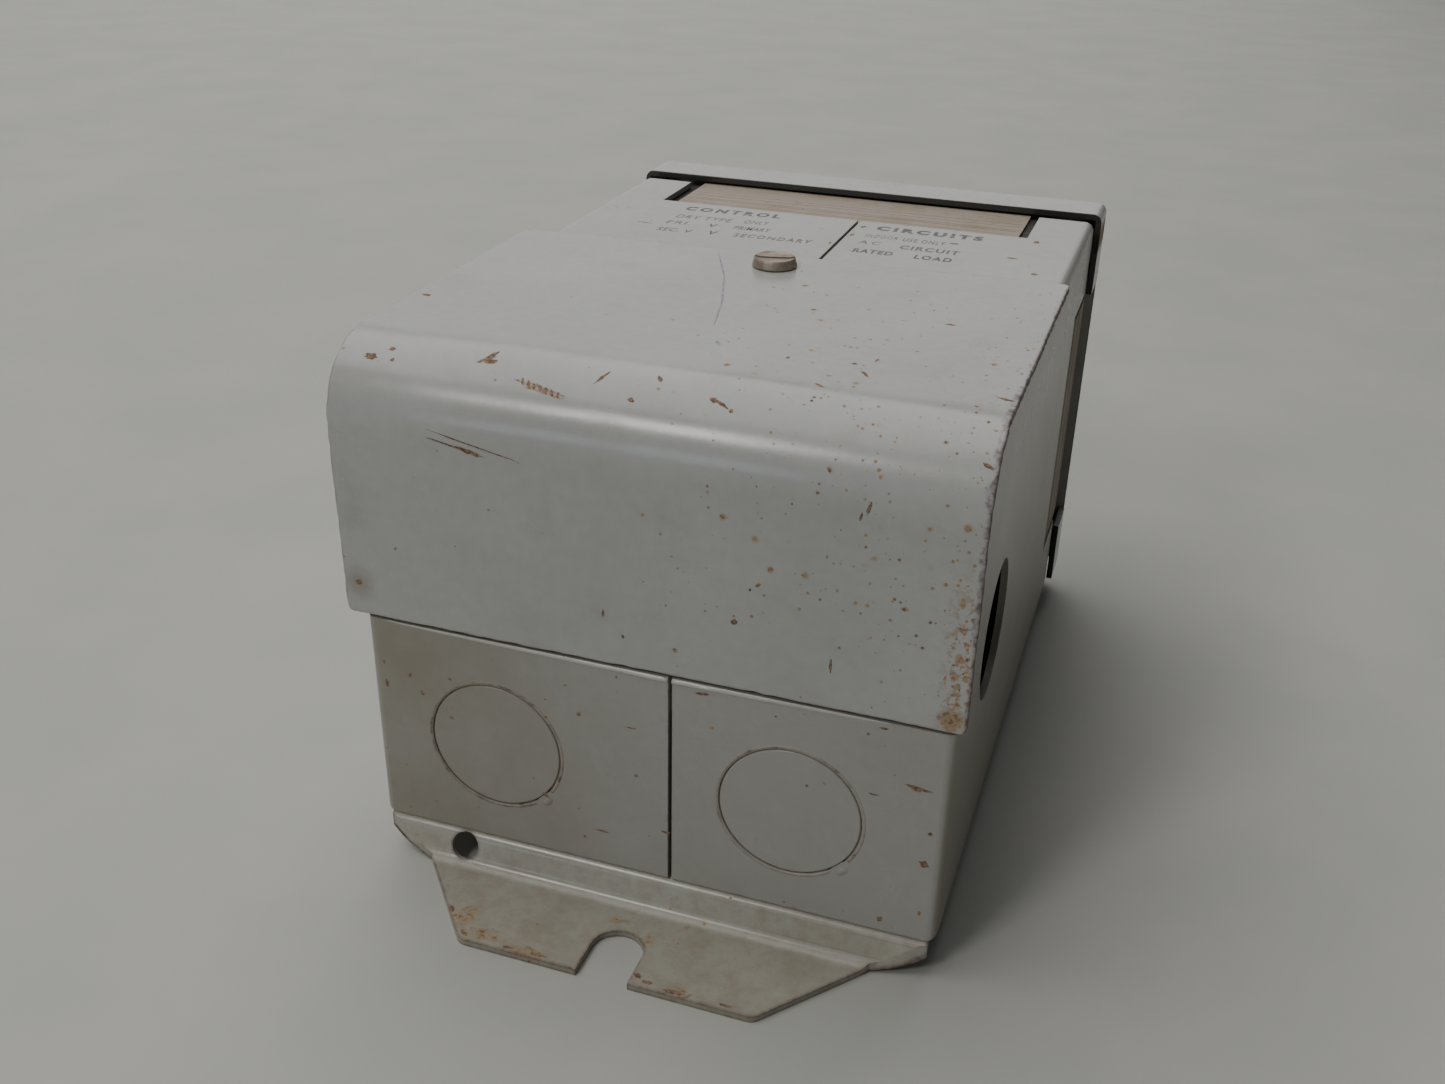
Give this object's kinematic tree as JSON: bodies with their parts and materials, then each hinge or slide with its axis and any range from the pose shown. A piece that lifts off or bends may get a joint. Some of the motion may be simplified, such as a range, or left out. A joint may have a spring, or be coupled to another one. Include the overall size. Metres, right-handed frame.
{
  "type": "dry-type transformer",
  "caption": "Small enclosed wall-mount transformer: folded sheet case with conduit knockouts, screwed wiring cover, exposed core edge, end cap and two slotted ears.",
  "frame": {"origin": "under the middle of the whole object, on the plane of the two ears that are screwed to the wall", "axes": "+Z out of the wall to the front of the case, +Y along the case from the conduit end to the end cap, +X to the side with the open conduit hole"},
  "size_m": [0.0994, 0.1728, 0.0916],
  "materials": {
    "case_enamel": "worn satin grey enamel",
    "cover_enamel": "satin grey enamel with rust specks and chips",
    "back_plate_enamel": "dirty grey enamel with rusty edges",
    "tarnished_steel": "tarnished plated steel",
    "zinc_steel": "dull zinc-plated steel",
    "core_steel": "varnished sheet edges",
    "nylon": "moulded",
    "copper": "enamelled copper wire",
    "insulating_paper": "varnished paper",
    "fibre_board": "hard grey-brown fibre",
    "phenolic": "moulded phenolic",
    "brass": "dull brass",
    "lead_sleeve": "varnished sleeve"
  },
  "bodies": {
    "case": {"back_plate": "back_plate_enamel", "left_case_shell": "case_enamel", "right_case_shell": "case_enamel", "end_cap": "case_enamel", "cover_screw_nut": "zinc_steel", "core_e_laminations": "core_steel", "core_i_laminations": "core_steel", "core_clamp_frame": "zinc_steel", "core_bolts": "zinc_steel", "core_bolt_nuts": "zinc_steel", "core_bolt_washers": "zinc_steel", "end_cap_spacers": "zinc_steel", "coil_bobbin": "nylon", "primary_winding": "copper", "secondary_winding": "copper", "winding_insulation": "insulating_paper", "coil_outer_wrap": "insulating_paper", "barrier_board": "fibre_board", "barrier_brackets": "zinc_steel", "board_rivets": "brass", "terminal_board": "phenolic", "terminal_plates": "brass", "terminal_screws": "brass", "terminal_lugs": "brass", "terminal_nuts": "brass", "primary_leads": "lead_sleeve", "secondary_leads": "lead_sleeve"},
    "cover": {"wiring_cover": "cover_enamel"},
    "cover_screw": {"cover_screw": "tarnished_steel"},
    "near_left_disc": {"knockout_near_left": "case_enamel"},
    "near_right_disc": {"knockout_near_right": "case_enamel"},
    "side_disc": {"knockout_side": "case_enamel"}
  },
  "joints": [
    {"name": "cover_lift", "type": "slide", "parent": "case", "child": "cover", "axis": [0, 0, 1], "range_m": [0, 0.06]},
    {"name": "cover_screw_turn", "type": "hinge", "parent": "cover", "child": "cover_screw", "pos_m": [0.0001, -0.0042, 0.08995], "axis": [0, 0, 1], "continuous": true},
    {"name": "near_left_knockout_bend", "type": "hinge", "parent": "case", "child": "near_left_disc", "pos_m": [-0.01682, -0.0667, 0.01742], "axis": [-0.7071, 0, -0.7071], "range_deg": [0, 70]},
    {"name": "near_right_knockout_bend", "type": "hinge", "parent": "case", "child": "near_right_disc", "pos_m": [0.03238, -0.0667, 0.01742], "axis": [-0.7071, 0, -0.7071], "range_deg": [0, 70]},
    {"name": "side_knockout_bend", "type": "hinge", "parent": "case", "child": "side_disc", "pos_m": [-0.04543, -0.03172, 0.03902], "axis": [0, 0.7071, 0.7071], "range_deg": [0, 70]}
  ]
}
